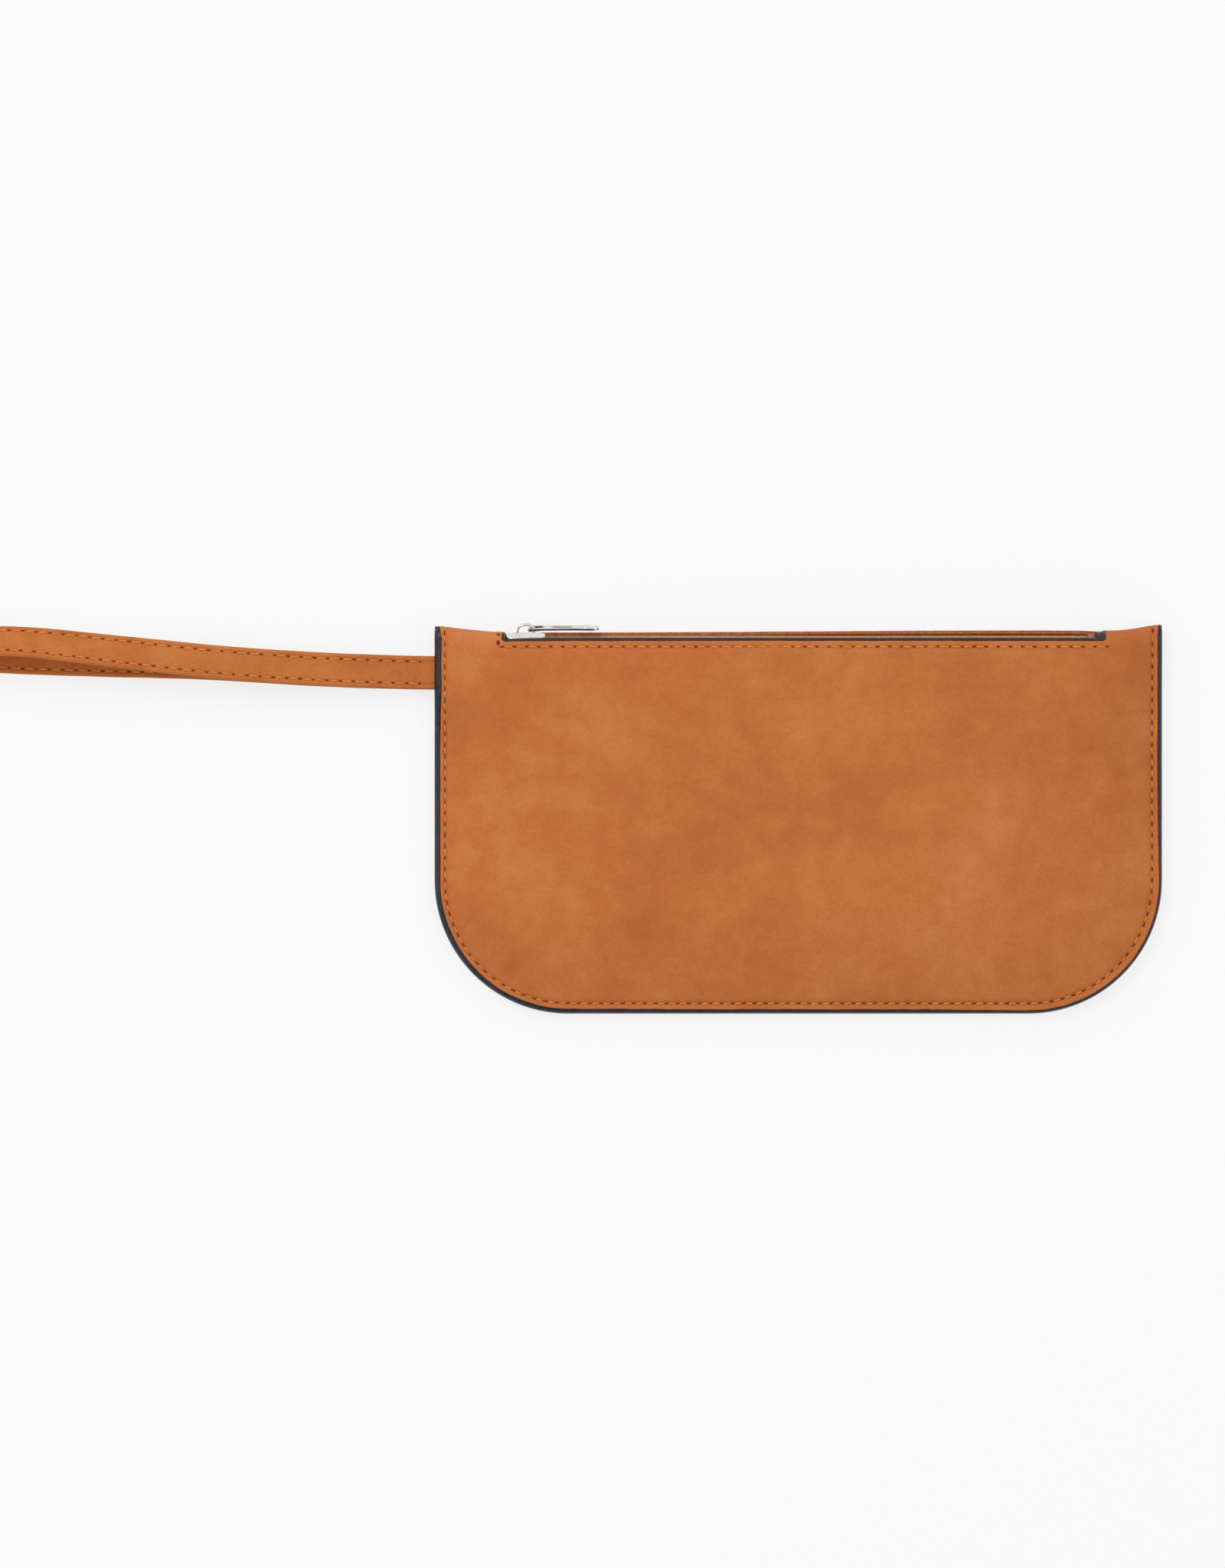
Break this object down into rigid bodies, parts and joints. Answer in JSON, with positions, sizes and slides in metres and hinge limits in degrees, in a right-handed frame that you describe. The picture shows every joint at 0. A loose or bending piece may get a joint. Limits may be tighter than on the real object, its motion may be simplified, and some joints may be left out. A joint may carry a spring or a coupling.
{
  "type": "wristlet wallet",
  "caption": "Flat wristlet wallet of folded tan leather with a zip slot along the top fold, rounded bottom corners, dark painted edges and a loop strap in the left side seam.",
  "frame": {"origin": "centre of the flat patch of the back that the wallet lies on", "axes": "+X along the width, away from the strap; +Y up the wallet towards the zip; +Z out of the front face"},
  "size_m": [0.3924, 0.1289, 0.0177],
  "materials": {
    "leather": "nubuck",
    "strap_leather": "nubuck",
    "edge_paint": "satin edge paint",
    "lining_cloth": "plain weave",
    "zip_tape": "twill",
    "zip_coil": "satin nylon",
    "nickel": "polished nickel",
    "thread": "waxed thread"
  },
  "bodies": {
    "wallet": {"outer_shell": "leather", "front_lining": "lining_cloth", "back_lining": "lining_cloth", "slip_pocket": "lining_cloth", "front_zip_tape": "zip_tape", "back_zip_tape": "zip_tape", "front_coil": "zip_coil", "back_coil": "zip_coil", "top_stops": "nickel", "bottom_stop": "zip_coil", "strap_root": "strap_leather", "front_edge_paint": "edge_paint", "back_edge_paint": "edge_paint", "slot_edge_paint": "edge_paint", "front_seam_stitching": "thread", "back_seam_stitching": "thread", "slot_stitching": "thread"},
    "slider": {"slider_body": "nickel", "slider_crown": "nickel"},
    "pull_tab": {"pull_tab": "nickel"},
    "strap": {"wrist_strap": "strap_leather", "strap_stitching": "thread"}
  },
  "joints": [
    {"name": "zip_slider_travel", "type": "slide", "parent": "wallet", "child": "slider", "axis": [1, 0, 0], "range_m": [0, 0.178]},
    {"name": "pull_tab_swing", "type": "hinge", "parent": "slider", "child": "pull_tab", "pos_m": [-0.08875, 0.0629, 0.00869], "axis": [0, -0.3173, 0.9483], "range_deg": [0, 165]},
    {"name": "strap_fold", "type": "hinge", "parent": "wallet", "child": "strap", "pos_m": [-0.1242, 0.0484, 0.00406], "axis": [0, 1, 0], "range_deg": [0, 90]}
  ]
}
